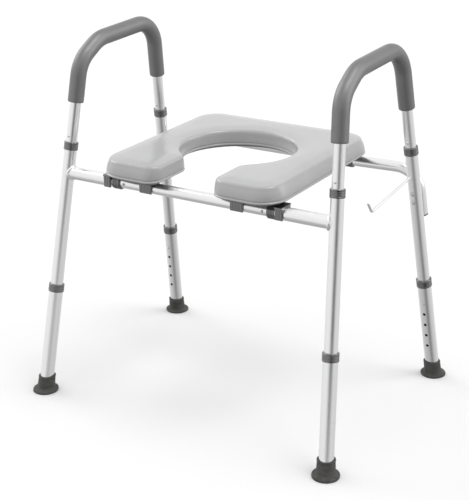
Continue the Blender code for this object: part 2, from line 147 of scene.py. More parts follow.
def spots(node, place):
    """A CAD node's vertices in a frame."""
    inverse = place.inverted()
    return [inverse @ vertex.co for vertex in NODES[node].data.vertices]


def measure(node, place):
    """The lowest and highest point of a CAD node along a frame's Z, and its radius."""
    inside = spots(node, place)
    heights = [spot.z for spot in inside]
    return min(heights), max(heights), max(math.hypot(spot.x, spot.y) for spot in inside)


def across(place, height, direction=-1):
    """A frame on a tube's axis at a height, its Z along the tube's own Y, or against it."""
    return place @ (Matrix.Translation((0, 0, height))
                    @ Matrix.Rotation(-direction * math.pi / 2, 4, "X"))


def middle_height(node, place):
    """Where a cross piece, such as a button or rivet, sits along a tube."""
    low, high, _ = measure(node, place)
    return (low + high) / 2


# Materials -----------------------------------------------------------------------------
class Tree:
    """Short calls for adding nodes to a material or a world."""

    def __init__(self, owner):
        owner.use_nodes = True
        self.tree = owner.node_tree

    def add(self, kind, **settings):
        node = self.tree.nodes.new(kind)
        for key, value in settings.items():
            setattr(node, key, value)
        return node

    def link(self, source, target):
        self.tree.links.new(source, target)

    def maths(self, operation, first, second):
        node = self.add("ShaderNodeMath", operation=operation)
        for socket, value in zip(node.inputs, (first, second)):
            if isinstance(value, (int, float)):
                socket.default_value = value
            else:
                self.link(value, socket)
        return node.outputs["Value"]


class Nodes(Tree):
    """One material and its node tree."""

    def __init__(self, name):
        self.material = bpy.data.materials.new(name)
        super().__init__(self.material)
        self.shader = self.tree.nodes["Principled BSDF"]

    def coordinates(self, kind, stretch):
        """Texture coordinates in metres, along the surface (UV) or in space (Object)."""
        source = self.add("ShaderNodeTexCoord")
        mapping = self.add("ShaderNodeMapping")
        mapping.inputs["Scale"].default_value = stretch
        self.link(source.outputs[kind], mapping.inputs["Vector"])
        return mapping.outputs["Vector"]

    def noise(self, vector, scale, detail=3.0, roughness=0.5):
        node = self.add("ShaderNodeTexNoise")
        node.inputs["Scale"].default_value = scale
        node.inputs["Detail"].default_value = detail
        node.inputs["Roughness"].default_value = roughness
        self.link(vector, node.inputs["Vector"])
        return node.outputs["Fac"]

    def cells(self, vector, scale, feature="F1"):
        node = self.add("ShaderNodeTexVoronoi", feature=feature)
        node.inputs["Scale"].default_value = scale
        self.link(vector, node.inputs["Vector"])
        return node.outputs["Distance"]

    def remap(self, value, low, high, start=0.3, stop=0.7):
        """Stretches the part of value between start and stop to low to high."""
        node = self.add("ShaderNodeMapRange")
        for key, number in (("From Min", start), ("From Max", stop), ("To Min", low),
                            ("To Max", high)):
            node.inputs[key].default_value = number
        self.link(value, node.inputs["Value"])
        return node.outputs["Result"]

    def tint(self, value, dark, light):
        """A colour between dark and light as value goes from 0 to 1."""
        node = self.add("ShaderNodeMix", data_type="RGBA")
        inputs = {socket.identifier: socket for socket in node.inputs}
        inputs["A_Color"].default_value = (*dark, 1)
        inputs["B_Color"].default_value = (*light, 1)
        self.link(value, inputs["Factor_Float"])
        outputs = {socket.identifier: socket for socket in node.outputs}
        return outputs["Result_Color"]

    def bump(self, height, strength, distance):
        node = self.add("ShaderNodeBump")
        node.inputs["Strength"].default_value = strength
        node.inputs["Distance"].default_value = distance
        self.link(height, node.inputs["Height"])
        self.link(node.outputs["Normal"], self.shader.inputs["Normal"])

    def surface(self, **values):
        """Sets or links the shader's inputs, named in lower case with underscores."""
        for key, value in values.items():
            socket = self.shader.inputs[key.replace("_", " ").title().replace("Ior", "IOR")]
            if isinstance(value, bpy.types.NodeSocket):
                self.link(value, socket)
            else:
                socket.default_value = value


def satin_aluminium():
    """Drawn and anodised tube: fine lines along it, and a slightly cloudy satin."""
    n = Nodes("satin_anodised_aluminium")
    lines = n.noise(n.coordinates("UV", (1.0, 0.012, 1.0)), 2600, 4, 0.65)
    cloud = n.noise(n.coordinates("Object", (1, 1, 1)), 22, 3)
    n.surface(
        base_color=n.tint(n.remap(lines, 0, 1), (0.86, 0.86, 0.865), (0.93, 0.93, 0.935)),
        roughness=n.maths("ADD", n.remap(cloud, 0.22, 0.25), n.remap(lines, 0.0, 0.04)),
        metallic=1.0)
    n.bump(lines, 0.05, 0.00005)
    return n.material


def bright_steel(name, dark, light, low, high):
    """Plated or polished steel with a few faint scuffs."""
    n = Nodes(name)
    scuffs = n.noise(n.coordinates("Object", (1, 1, 0.3)), 900, 5, 0.7)
    n.surface(base_color=n.tint(n.remap(scuffs, 0, 1), dark, light),
              roughness=n.remap(scuffs, low, high), metallic=1.0)
    n.bump(scuffs, 0.08, 0.00004)
    return n.material


def moulded_plastic(name, dark, light, roughness):
    """Injection-moulded plastic with spark-eroded grain and faint flow marks."""
    n = Nodes(name)
    grain = n.noise(n.coordinates("Object", (1, 1, 1)), 3200, 2, 0.6)
    flow = n.noise(n.coordinates("Object", (1, 1, 2.5)), 90, 4, 0.55)
    n.surface(base_color=n.tint(n.remap(flow, 0, 1), dark, light),
              roughness=n.remap(grain, roughness - 0.05, roughness + 0.06),
              ior=2.55)
    n.bump(grain, 0.12, 0.00006)
    return n.material


def foot_rubber():
    """Matte rubber, greyer where dust sits in its pores."""
    n = Nodes("foot_rubber")
    pores = n.noise(n.coordinates("Object", (1, 1, 1)), 2400, 4, 0.65)
    dust = n.noise(n.coordinates("Object", (1, 1, 1.6)), 70, 5, 0.6)
    n.surface(base_color=n.tint(n.remap(dust, 0, 1, 0.35, 0.75), (0.048, 0.047, 0.045),
                                (0.095, 0.093, 0.088)),
              roughness=n.remap(pores, 0.58, 0.78), specular_ior_level=0.4)
    n.bump(pores, 0.4, 0.00012)
    return n.material


def grip_foam():
    """Closed-cell foam sleeve: a fine open texture under a soft velvety skin."""
    n = Nodes("grip_foam")
    place = n.coordinates("Object", (1, 1, 1))
    pores = n.cells(place, 1500)
    fine = n.noise(place, 4200, 3, 0.6)
    mottle = n.noise(place, 45, 4, 0.6)
    grain = n.noise(place, 620, 3, 0.65)
    height = n.maths("ADD", n.maths("MULTIPLY", pores, 0.5), n.maths("MULTIPLY", grain, 2.2))
    n.surface(base_color=n.tint(n.remap(mottle, 0, 1), (0.030, 0.031, 0.032),
                                (0.042, 0.043, 0.044)),
              roughness=n.remap(fine, 0.38, 0.48), ior=2.6,
              sheen_weight=0.5, sheen_roughness=0.25, sheen_tint=(0.9, 0.91, 0.92, 1))
    n.bump(height, 0.40, 0.00030)
    return n.material


def seat_skin():
    """Self-skinned polyurethane foam: a fine leathery grain and a soft sheen."""
    n = Nodes("seat_skin")
    place = n.coordinates("Object", (1, 1, 1))
    wobble = n.noise(place, 260, 2)
    cells = n.cells(place, 620, "DISTANCE_TO_EDGE")
    creases = n.remap(cells, 0, 1, 0.0, 0.12)
    fine = n.noise(place, 2600, 3, 0.6)
    mottle = n.noise(place, 16, 5, 0.55)
    height = n.maths("ADD", n.maths("MULTIPLY", creases, 0.6),
                     n.maths("ADD", n.maths("MULTIPLY", fine, 0.35),
                             n.maths("MULTIPLY", wobble, 0.5)))
    n.surface(base_color=n.tint(n.remap(mottle, 0, 1), (0.375, 0.375, 0.380),
                                (0.405, 0.405, 0.411)),
              roughness=n.remap(fine, 0.36, 0.46), specular_ior_level=0.9,
              coat_weight=0.9, coat_roughness=0.20)
    n.bump(height, 0.22, 0.00018)
    return n.material


def bore_painted_shade():
    """The unpolished inside of a tube, painted near-black as the shade inside it, with a faint dust mottle."""
    n = Nodes("bore_painted_shade")
    dust = n.noise(n.coordinates("Object", (1, 1, 1)), 400, 4, 0.6)
    n.surface(base_color=n.tint(n.remap(dust, 0, 1), (0.030, 0.030, 0.031),
                                (0.060, 0.060, 0.061)),
              roughness=n.remap(dust, 0.55, 0.75), metallic=0.3)
    n.bump(dust, 0.1, 0.00005)
    return n.material


ALUMINIUM = satin_aluminium()
# near-black inner walls of the tubes: painted shade
BORE_PAINTED_SHADE = bore_painted_shade()
STEEL = bright_steel("zinc_plated_steel", (0.60, 0.60, 0.61), (0.74, 0.74, 0.74), 0.18, 0.34)
WIRE = bright_steel("coated_wire", (0.84, 0.84, 0.84), (0.93, 0.93, 0.93), 0.26, 0.40)
COLLAR = moulded_plastic("collar_plastic", (0.009, 0.009, 0.009), (0.014, 0.014, 0.013), 0.11)
BLACK = moulded_plastic("base_board", (0.026, 0.026, 0.027), (0.040, 0.040, 0.041), 0.50)
RUBBER = foot_rubber()
FOAM = grip_foam()
SKIN = seat_skin()


# Mesh helpers --------------------------------------------------------------------------
def piece(name, bm, material, body, node=None, sharp=35):
    """A finished piece: its mesh, its material, the body it rides on, the node it replaces."""
    bmesh.ops.recalc_face_normals(bm, faces=bm.faces)
    mesh = bpy.data.meshes.new(name)
    bm.to_mesh(mesh)
    bm.free()
    mesh.materials.append(material)
    for face in mesh.polygons:
        face.use_smooth = True
    mesh.set_sharp_from_angle(angle=math.radians(sharp))
    obj = bpy.data.objects.new(name, mesh)
    bpy.context.scene.collection.objects.link(obj)
    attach(obj, body)
    if node:
        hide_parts(node)
    return obj


def fillet(points, radii, steps=4, closed=True):
    """Rounds the corners of a 2D or 3D polyline, each with its own radius."""
    points = [Vector(point).to_3d() for point in points]
    count, line = len(points), []
    for i, (corner, radius) in enumerate(zip(points, radii)):
        if radius <= 0 or not closed and i in (0, count - 1):
            line.append(corner)
            continue
        before, after = points[i - 1] - corner, points[(i + 1) % count] - corner
        turn = math.pi - before.angle(after)
        cut = radius * math.tan(turn / 2)
        limit = 0.49 * min(before.length, after.length)
        if cut > limit:
            radius, cut = radius * limit / cut, limit
        before.normalize()
        after.normalize()
        start = corner + before * cut
        inward = (after - before * before.dot(after)).normalized()
        centre = start + inward * radius
        for k in range(steps + 1):
            angle = turn * k / steps
            line.append(centre - inward * radius * math.cos(angle)
                        - before * radius * math.sin(angle))
    return line


def rounded(corners, steps, closed=False):
    """A line from (x, y, radius) corners, each rounded with its own radius."""
    return fillet([corner[:2] for corner in corners], [corner[2] for corner in corners], steps,
                  closed)


def skin_rings(bm, rings, loop=False, uv=None):
    """Faces between successive rings of vertices, with UVs in metres if given."""
    layer = bm.loops.layers.uv.verify()
    pairs = list(zip(rings, rings[1:]))
    if loop:
        pairs.append((rings[-1], rings[0]))
    count = len(rings[0])
    for row, (low, high) in enumerate(pairs):
        for i in range(count):
            j = (i + 1) % count
            corners = [low[i], low[j], high[j], high[i]]
            if len(set(corners)) < 3:
                continue
            face = bm.faces.new(list(dict.fromkeys(corners)))
            if uv and len(face.verts) == 4:
                for corner, (a, b) in zip(face.loops, ((i, row), (i + 1, row),
                                                       (i + 1, row + 1), (i, row + 1))):
                    corner[layer].uv = uv(a, b)


def turned(name, profile, place, material, body, node=None, sides=ROUND, shear=None):
    """A turned piece from (radius, height) points; a point on the axis closes that end."""
    bm = bmesh.new()
    profile = [(point[0], point[1]) for point in profile]
    shape = place @ shear if shear else place
    rings, run = [], [0.0]      # run is the length along the profile, for the UVs
    for i, (radius, height) in enumerate(profile):
        if i:
            last = profile[i - 1]
            run.append(run[-1] + math.hypot(radius - last[0], height - last[1]))
        if radius < 1e-6:
            tip = bm.verts.new(shape @ Vector((0, 0, height)))
            rings.append([tip] * sides)
        else:
            rings.append([bm.verts.new(shape @ Vector((radius * math.cos(a),
                                                       radius * math.sin(a), height)))
                          for a in (2 * math.pi * k / sides for k in range(sides))])
    run.append(run[-1] + 0.001)
    widest = max(radius for radius, _ in profile)
    open_ended = profile[0][0] < 1e-6 and profile[-1][0] < 1e-6
    skin_rings(bm, rings, loop=not open_ended,
               uv=lambda i, row: (2 * math.pi * widest * i / sides, run[min(row, len(run) - 1)]))
    return piece(name, bm, material, body, node)


def drilled(obj, place, holes):
    """Cuts round holes across a tube, gives its walls true cylinder normals and paints its inner walls near-black
    as painted shade.
    """
    bm = bmesh.new()
    for frame_here, start, end, radius in holes:
        bmesh.ops.create_cone(
            bm, cap_ends=True, segments=HOLE_SIDES, radius1=radius, radius2=radius,
            depth=end - start, matrix=frame_here @ Matrix.Translation((0, 0, (start + end) / 2)))
    mesh = bpy.data.meshes.new("holes")
    bm.to_mesh(mesh)
    bm.free()
    cutter = bpy.data.objects.new("holes", mesh)
    bpy.context.scene.collection.objects.link(cutter)
    modifier = obj.modifiers.new("holes", "BOOLEAN")
    modifier.operation, modifier.solver, modifier.object = "DIFFERENCE", "EXACT", cutter
    apply_modifiers(obj)
    bpy.data.objects.remove(cutter)
    bpy.data.meshes.remove(mesh)
    mesh = obj.data
    mesh.set_sharp_from_angle(angle=math.radians(35))
    # a second, near-black material for the inner walls: painted shade
    mesh.materials.append(BORE_PAINTED_SHADE)
    inverse, turn = place.inverted(), place.to_3x3()
    normals = [corner.vector.copy() for corner in mesh.corner_normals]
    for face in mesh.polygons:
        centre = inverse @ face.center
        radial = turn @ Vector((centre.x, centre.y, 0)).normalized()
        facing = radial.dot(face.normal)
        if abs(facing) < 0.97:
            continue
        # inner wall faces take the near-black material: painted shade
        if facing < 0:
            face.material_index = 1
        for corner in face.loop_indices:
            spot = inverse @ mesh.vertices[mesh.loops[corner].vertex_index].co
            normals[corner] = turn @ Vector((spot.x, spot.y, 0)).normalized()
            if facing < 0:
                normals[corner].negate()
    mesh.normals_split_custom_set(normals)


def apply_modifiers(obj):
    """Makes an object's modifiers part of its mesh."""
    graph = bpy.context.evaluated_depsgraph_get()
    mesh = bpy.data.meshes.new_from_object(obj.evaluated_get(graph))
    obj.modifiers.clear()
    obj.data = mesh


def tube_profile(low, high, outer):
    """A tube's wall with deburred ends, as (radius, height) points."""
    inner = outer - WALL
    corners = [(inner, low), (outer, low), (outer, high), (inner, high)]
    return fillet(corners, [TUBE_EDGE] * 4, 3)


def swept(name, path, radii, material, body, node=None, inner=None, sides=ROUND):
    """A round bar along a path with a radius at each point, or a sleeve if it is hollow."""
    bm = bmesh.new()
    tangents = []
    for i in range(len(path)):
        tangents.append((path[min(i + 1, len(path) - 1)] - path[max(i - 1, 0)]).normalized())
    side = tangents[0].orthogonal().normalized()
    frames = []
    for tangent in tangents:
        side = (side - tangent * side.dot(tangent)).normalized()
        frames.append((side, tangent.cross(side)))
    run = [0.0]                 # length along the path, for the UVs
    for a, b in zip(path, path[1:]):
        run.append(run[-1] + (b - a).length)

    def ring(i, radius):
        u, v = frames[i]
        return [bm.verts.new(path[i] + (u * math.cos(a) + v * math.sin(a)) * radius)
                for a in (2 * math.pi * k / sides for k in range(sides))]

    rings = [ring(i, radius) for i, radius in enumerate(radii)]
    if inner:
        rings += [ring(i, inner) for i in reversed(range(len(path)))]
        run += list(reversed(run))
    else:
        rings = [[bm.verts.new(path[0])] * sides, *rings, [bm.verts.new(path[-1])] * sides]
        run = [run[0], *run, run[-1]]
    run.append(run[0])
    skin_rings(bm, rings, loop=bool(inner),
               uv=lambda i, row: (2 * math.pi * max(radii) * i / sides, run[row]))
    return piece(name, bm, material, body, node)


def rounded_ends(path, radius, edge, step=5):
    """Adds points near both ends of a path, and radii that round the ends over there."""
    def end(first, second, reverse):
        direction = (second - first).normalized()
        line = []
        for k in range(step + 1):
            angle = math.pi / 2 * k / step
            line.append((first + direction * edge * (1 - math.cos(angle)),
                         radius - edge + edge * math.sin(angle)))
        return line[::-1] if reverse else line

    middle = [(point, radius) for point in path[1:-1]]
    line = end(path[0], path[1], False) + middle + end(path[-1], path[-2], True)
    return [point for point, _ in line], [size for _, size in line]


def lofted(name, stations, place, material, body, node=None, sharp=35):
    """A closed body from outlines in the frame's XY plane, each at its own height Z."""
    bm = bmesh.new()
    rings = [[bm.verts.new(place @ Vector((x, y, height))) for x, y in outline]
             for height, outline in stations]
    skin_rings(bm, rings)
    bm.faces.new(rings[0])
    bm.faces.new(rings[-1])
    return piece(name, bm, material, body, node, sharp)


# Legs ----------------------------------------------------------------------------------
def collar_profile(low, high, outer, seat, slide, ribs, depth):
    """A moulded bush between two plain rims, with fine ribs round its middle."""
    rim, tall = 0.0026, high - low
    corners = [(seat, low, 0.0002), (outer - 0.0002, low, 0.0005),
               (outer, low + 0.0008, 0.0004), (outer, low + rim, 0.0002)]
    pitch = (tall - 2 * rim) / ribs
    for k in range(ribs):
        start = low + rim + k * pitch
        corners += [(outer - depth, start + 0.14 * pitch, 0.0001),
                    (outer - depth, start + 0.34 * pitch, 0.0001),
                    (outer - 0.0001, start + 0.52 * pitch, 0.0002),
                    (outer - 0.0001, start + 0.94 * pitch, 0.0002)]
    corners += [(outer, high - rim, 0.0002), (outer, high - 0.0010, 0.0005),
                (outer - 0.0007, high, 0.0003), (slide, high, 0.0002),
                (slide, high - 0.003, 0.0001), (seat, high - 0.003, 0.0001)]
    return rounded(corners, 3, closed=True)


def add_collar(node, place, tube_r, inner_r, body, ribs=4, depth=0.00030):
    """A collar seated on one tube, which another tube slides or runs through."""
    low, high, outer = measure(node, place)
    turned(f"moulded_{node}", collar_profile(low, high, outer, tube_r + GAP, inner_r + GAP,
                                             ribs, depth), place, COLLAR, body, node)


def add_button(node, place):
    """A domed snap button on its own body, with a head that stays behind the tube's wall."""
    low, high, _ = measure(node, place)
    dome = [(BUTTON_R * math.sin(a), high - BUTTON_DOME * (1 - math.cos(a)))
            for a in (math.pi / 2 * k / 8 for k in range(9))]
    head = low + BUTTON_HEAD
    profile = [*dome, (BUTTON_R, head), (BUTTON_HEAD_R, head), (BUTTON_HEAD_R, low), (0, low)]
    turned(f"domed_{node}", profile, place, STEEL, node, node, sides=28)


def add_leaf_spring(where, press):
    """A V of spring steel behind a leg's button, held on the frame."""
    reach, sheet, half_width, edge = 0.0086, 0.00035, 0.0035, 0.0002
    line = fillet([(reach, -0.005), (reach, 0.004), (0, 0.028), (-reach, -0.004)],
                  (0, 0.004, 0.002, 0), 5, closed=False)

    def outline(thick):
        sides = ([], [])
        for i, point in enumerate(line):
            along = (line[min(i + 1, len(line) - 1)] - line[max(i - 1, 0)]).normalized()
            for side, sign in zip(sides, (1, -1)):
                side.append((point.x - sign * along.y * thick, point.y + sign * along.x * thick))
        return sides[0] + sides[1][::-1]

    slim, full = outline(sheet - edge), outline(sheet)
    stations = [(-half_width, slim), (edge - half_width, full), (half_width - edge, full),
                (half_width, slim)]
    turn = frame_of((0, 0, 1), (0, 1, 0), (-1, 0, 0))
    spring = lofted(f"bent_leg_spring_{where}", stations, press @ turn, STEEL, "frame",
                    f"leg_spring_{where}")
    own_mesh(spring)


def add_foot(where):
    """A rubber ferrule: beaded sleeve, flared skirt and a stepped flange on a ridged sole."""
    node = f"foot_{where}"
    sole = SOLES[f"sole_{where}"]
    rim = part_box(node)[1][2]
    up = LEG_FRAMES[where].col[2]
    shear = Matrix()
    shear[0][2], shear[1][2] = up.x / up.z, up.y / up.z
    sleeve, flange, bore = 0.0180, 0.0265, 0.01485
    corners = [
        (0, 0.0075, 0), (bore, 0.0075, 0), (bore, rim, 0.0004), (sleeve - 0.0003, rim, 0.0006),
        (sleeve - 0.0001, rim - 0.0026, 0.0004), (sleeve - 0.0007, rim - 0.0032, 0.0003),
        (sleeve - 0.0006, rim - 0.0040, 0.0003), (sleeve + 0.0002, 0.0110, 0.003),
        (sleeve + 0.0012, 0.0062, 0.0022), (flange - 0.0030, 0.0055, 0.0005),
        (flange - 0.0007, 0.0051, 0.0012),
        (flange, 0.0032, 0.0006), (flange - 0.0002, 0.0005, 0.0003), (flange - 0.0012, 0, 0.0003),
        (flange - 0.0040, 0, 0.0002), (flange - 0.0048, 0.0011, 0.0002),
        (flange - 0.0066, 0.0011, 0.0002), (flange - 0.0074, 0, 0.0002),
        (flange - 0.0120, 0, 0.0002), (flange - 0.0128, 0.0011, 0.0002),
        (flange - 0.0146, 0.0011, 0.0002), (flange - 0.0154, 0, 0.0002), (0, 0, 0),
    ]
    turned(f"moulded_{node}", rounded(corners, 4),
           Matrix.Translation((sole.x, sole.y, 0)), RUBBER,
           f"lower_leg_{where}", node, shear=shear)


def add_leg(where):
    """A leg tube, its lower leg with five holes, two collars, two buttons, spring and foot."""
    end, side_name = where.split("_")
    place, body = LEG_FRAMES[where], f"lower_leg_{where}"
    inward = -ENDS[end]
    button_s = middle_height(f"leg_button_{where}", place)
    arm_s = middle_height(f"arm_button_{where}", place)
    button_place = across(place, button_s, inward)

    low, high, leg_r = measure(f"leg_tube_{where}", place)
    leg = turned(f"drawn_leg_tube_{where}", tube_profile(low, high, leg_r), place, ALUMINIUM,
                 "frame", f"leg_tube_{where}")
    holes = [(button_place, *DRILL, HOLE_R)]
    if end == "rear":
        for level in ("upper", "lower"):
            rivet_s = middle_height(f"{level}_rivet_{side_name}", place)
            holes.append((across(place, rivet_s), -DRILL[1], DRILL[1], RIVET_HOLE_R))
    drilled(leg, place, holes)

    low, high, outer = measure(f"lower_leg_{where}", place)
    lower = turned(f"drawn_lower_leg_{where}", tube_profile(low, high, outer), place,
                   ALUMINIUM, body, f"lower_leg_{where}")
    drilled(lower, place, [(across(place, button_s - k * HOLE_PITCH, inward), *DRILL, HOLE_R)
                           for k in range(HOLE_COUNT)])
    add_collar(f"lower_collar_{where}", place, outer, leg_r, body)
    add_collar(f"upper_collar_{where}", place, leg_r, ARM_R, "frame")
    add_button(f"leg_button_{where}", button_place)
    add_button(f"arm_button_{where}", across(place, arm_s))
    add_foot(where)
    add_leaf_spring(where, button_place)


for where in LEGS:
    add_leg(where)


# Arms and their foam grips ---------------------------------------------------------------
def leg_point(where, height):
    """The point on a leg's axis at a height above the floor."""
    place = LEG_FRAMES[where]
    up = place.col[2].to_3d()
    return place.translation + up * (height / up.z)


def arm_path(side_name, bottom):
    """The centre line of one arm, whose two ends are at the same height."""
    slope_y, slope_z = ARM_SLOPE_TOP
    front, rear = f"front_{side_name}", f"rear_{side_name}"
    slope = Vector((leg_point(front, slope_z).x, slope_y, slope_z))
    corners = [leg_point(front, bottom), leg_point(front, ARM_LOW_BEND_Z), slope,
               leg_point(rear, ARM_REAR_BEND_Z), leg_point(rear, bottom)]
    return fillet(corners, (0, *ARM_BENDS, 0), 14, closed=False)


def even_path(path, step=0.004):
    """Extra points on the straight stretches, so that rings are evenly spaced."""
    line = [path[0]]
    for a, b in zip(path, path[1:]):
        count = max(1, round((b - a).length / step))
        line += [a.lerp(b, k / count) for k in range(1, count + 1)]
    return line


for side_name in SIDES:
    arm_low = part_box(f"arm_tube_{side_name}")[0][2]
    path = arm_path(side_name, arm_low + 0.002)
    swept(f"bent_arm_tube_{side_name}", path, [ARM_R] * len(path), ALUMINIUM, "frame",
          f"arm_tube_{side_name}", inner=ARM_R - WALL)
    grip_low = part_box(f"foam_grip_{side_name}")[0][2]
    path = even_path(arm_path(side_name, grip_low + 0.003))
    path, radii = rounded_ends(path, GRIP_R, GRIP_EDGE)
    swept(f"sleeve_foam_grip_{side_name}", path, radii, FOAM, "frame",
          f"foam_grip_{side_name}", inner=ARM_R + GAP)


# Crossbar ------------------------------------------------------------------------------
def add_weld(side_name, root, stub_r, leg_r):
    """A rippled bead along the saddle where a stub meets its leg."""
    leg_up = LEG_FRAMES[f"front_{side_name}"].col[2].to_3d()
    inward = Vector((-SIDES[side_name], 0, 0))
    along = inward - leg_up * inward.dot(leg_up)
    line, radii = [], []
    for k in range(WELD_STEPS + 1):
        angle = 2 * math.pi * k / WELD_STEPS
        offset = Vector((0, math.cos(angle), math.sin(angle))) * (stub_r + WELD_LIFT)
        # slide the point along the stub until it lies on the leg's surface
        near = offset - leg_up * offset.dot(leg_up)
        a, b = along.dot(along), near.dot(along)
        c = near.dot(near) - (leg_r + WELD_LIFT) ** 2
        reach = (-b + math.sqrt(max(b * b - a * c, 0))) / a
        reach = WELD_FOLLOW * reach + (1 - WELD_FOLLOW) * (leg_r + 0.0005)
        line.append(root + offset + inward * reach)
        radii.append(WELD_R + WELD_RIPPLE * math.sin(angle * WELD_RIPPLES))
    swept(f"weld_bead_{side_name}", line, radii, ALUMINIUM, "frame", sides=12)


bar_axis_y = sum(corner[1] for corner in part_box("crossbar_tube")) / 2
bar_axis_z = sum(corner[2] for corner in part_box("crossbar_tube")) / 2
BAR = frame_of((0, 0, -1), (0, 1, 0), (1, 0, 0), (0, bar_axis_y, bar_axis_z))
low, high, bar_r = measure("crossbar_tube", BAR)
turned("drawn_crossbar_tube", tube_profile(low, high, bar_r), BAR, ALUMINIUM, "frame",
       "crossbar_tube")
for side_name, side in SIDES.items():
    root = leg_point(f"front_{side_name}", bar_axis_z)
    place = frame_of((0, 0, side), (0, 1, 0), (-side, 0, 0), root)
    low, high, stub_r = measure(f"crossbar_stub_{side_name}", place)
    leg_r = measure(f"leg_tube_front_{side_name}", LEG_FRAMES[f"front_{side_name}"])[2]
    stub = turned(f"drawn_crossbar_stub_{side_name}", tube_profile(0.002, high, stub_r), place,
                  ALUMINIUM, "frame", f"crossbar_stub_{side_name}")
    drilled(stub, place, [(LEG_FRAMES[f"front_{side_name}"], *STUB_CUT, leg_r + GAP)])
    add_collar(f"crossbar_collar_{side_name}", place, stub_r, bar_r, "frame", 5, 0.0008)
    button_x = sum(corner[0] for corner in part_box(f"crossbar_button_{side_name}")) / 2
    add_button(f"crossbar_button_{side_name}", across(BAR, button_x))
    add_weld(side_name, root, stub_r, leg_r)


# Rear bar ------------------------------------------------------------------------------
hinge = Vector(JOINTS["seat_lift"]["pos_m"])


def behind_leg(side_name, height):
    """The point behind a rear leg where the bar's bent end passes a height."""
    place = LEG_FRAMES[f"rear_{side_name}"]
    up = place.col[2].to_3d()
    start = place @ Vector((0, leg_r + bar_r + GAP, 0))
    return start + up * (height - start.z) / up.z


ends = {name: behind_leg(name, REAR_BAR_END_Z) for name in SIDES}
bow = [Vector((side * REAR_BAR_BOW_X, hinge.y, hinge.z)) for side in SIDES.values()]
path = fillet([ends["left"], behind_leg("left", hinge.z), *bow, behind_leg("right", hinge.z),
               ends["right"]],
              (0, REAR_BAR_BEND, REAR_BAR_BOW_BEND, REAR_BAR_BOW_BEND, REAR_BAR_BEND, 0), 14,
              closed=False)
swept("bent_rear_bar", path, [bar_r] * len(path), ALUMINIUM, "frame", "rear_bar",
      inner=bar_r - WALL)
for side_name in SIDES:
    place = LEG_FRAMES[f"rear_{side_name}"]
    rim, spigot = bar_r + GAP, bar_r - WALL - GAP
    corners = [(0, 0.010, 0), (spigot - 0.0008, 0.010, 0.0004), (spigot, 0.008, 0.0004),
               (spigot, -GAP, 0.0001), (rim, -GAP, 0.0002), (rim, -0.0034, 0.0014),
               (0.004, -0.0036, 0.001), (0.003, -0.0030, 0.0004), (0, -0.0030, 0)]
    turned(f"moulded_rear_bar_plug_{side_name}", rounded(corners, 4),
           Matrix.Translation(ends[side_name]) @ place.to_3x3().to_4x4(), COLLAR, "frame",
           f"rear_bar_plug_{side_name}")
    for level in ("upper", "lower"):
        node = f"{level}_rivet_{side_name}"
        here = across(place, middle_height(node, place))
        low, high, _ = measure(node, here)
        head, tail = high - 0.0020, low + 0.0014
        corners = [(0, high - 0.0009, 0), (0.0011, high - 0.0009, 0.0002),
                   (0.0013, high, 0.0003), (0.0025, high - 0.0003, 0.0008),
                   (0.0043, head + 0.0004, 0.0003), (0.0044, head, 0.0001),
                   (RIVET_R, head, 0.0001), (RIVET_R, tail, 0.0001), (0.0040, tail, 0.0003),
                   (0.0037, low + 0.0002, 0.0006), (0, low, 0)]
        turned(f"pop_{node}", rounded(corners, 3), here, STEEL, "frame", node, sides=32)


# Toilet roll wire ------------------------------------------------------------------------
root = leg_point("rear_right", ROD_Z)
out = Vector((0, -math.cos(ROD_DROP), -math.sin(ROD_DROP)))
bend = root + out * (leg_r + ROD_LENGTH)
tip = bend + Vector((0, -math.cos(ROD_TIP_RISE), math.sin(ROD_TIP_RISE))) * ROD_TIP
corners = [root + out * (leg_r - WALL - 0.0014), bend, tip]
path = even_path(fillet(corners, (0, ROD_BEND, 0), 12, closed=False), 0.006)
path, radii = rounded_ends(path, ROD_R, 0.0022, 6)
swept("bent_toilet_roll_wire", path, radii, WIRE, "frame", "toilet_roll_wire", sides=20)


# Seat ----------------------------------------------------------------------------------
def seat_frame():
    """The seat's frame on the rear bar's axis; its Z is square to the tipped seat base."""
    base = max(NODES["seat_base"].data.polygons, key=lambda face: face.area)
    normal = base.normal if base.normal.z > 0 else -base.normal
    right = Vector((1, 0, 0))
    return frame_of(right, normal.cross(right).normalized(), normal, hinge)


SEAT = seat_frame()
cushion_spots = spots("seat_cushion", SEAT)
SEAT_HALF = max(spot.x for spot in cushion_spots)
SEAT_FRONT = min(spot.y for spot in cushion_spots)
SEAT_REAR = max(spot.y for spot in cushion_spots)
CUSHION_LOW = min(spot.z for spot in cushion_spots)
CUSHION_HIGH = max(spot.z for spot in cushion_spots)


def seat_corners(outer, inner):
    """The seat's U seen from above, pulled in by outer at its edge and inner at its hole."""
    half, front, rear = SEAT_HALF - outer, SEAT_FRONT + outer, SEAT_REAR - outer
    mouth, oval_x, oval_y = MOUTH_HALF_X + inner, OVAL_HALF_X + inner, OVAL_HALF_Y + inner
    centre = OVAL_CENTRE_Y - hinge.y
    end_x, end_y = oval_x * math.cos(OVAL_OPEN), centre - oval_y * math.sin(OVAL_OPEN)
    nose_y = end_y - (end_x - mouth) * oval_y / (oval_x * math.tan(OVAL_OPEN))
    oval = [(oval_x * math.cos(a), centre + oval_y * math.sin(a))
            for a in (math.pi + OVAL_OPEN - (math.pi + 2 * OVAL_OPEN) * k / 44
                      for k in range(45))]
    points = [(mouth, front), (half, front), (half, rear), (-half, rear), (-half, front),
              (-mouth, front), (-mouth, nose_y), *oval, (mouth, nose_y)]
    soft = max(SEAT_CORNER - outer, 0.010)
    lobe = max(LOBE_CORNER - (outer + inner) / 2, 0.006)
    nose = max(NOSE_CORNER - inner, 0.006)
    radii = [lobe, soft, soft, soft, soft, lobe, nose, *[0] * len(oval), nose]
    return fillet(points, radii, 12)


REFERENCE = seat_corners(0, 0)
SPLITS = [max(1, round((b - a).length / 0.009))
          for a, b in zip(REFERENCE, REFERENCE[1:] + REFERENCE[:1])]


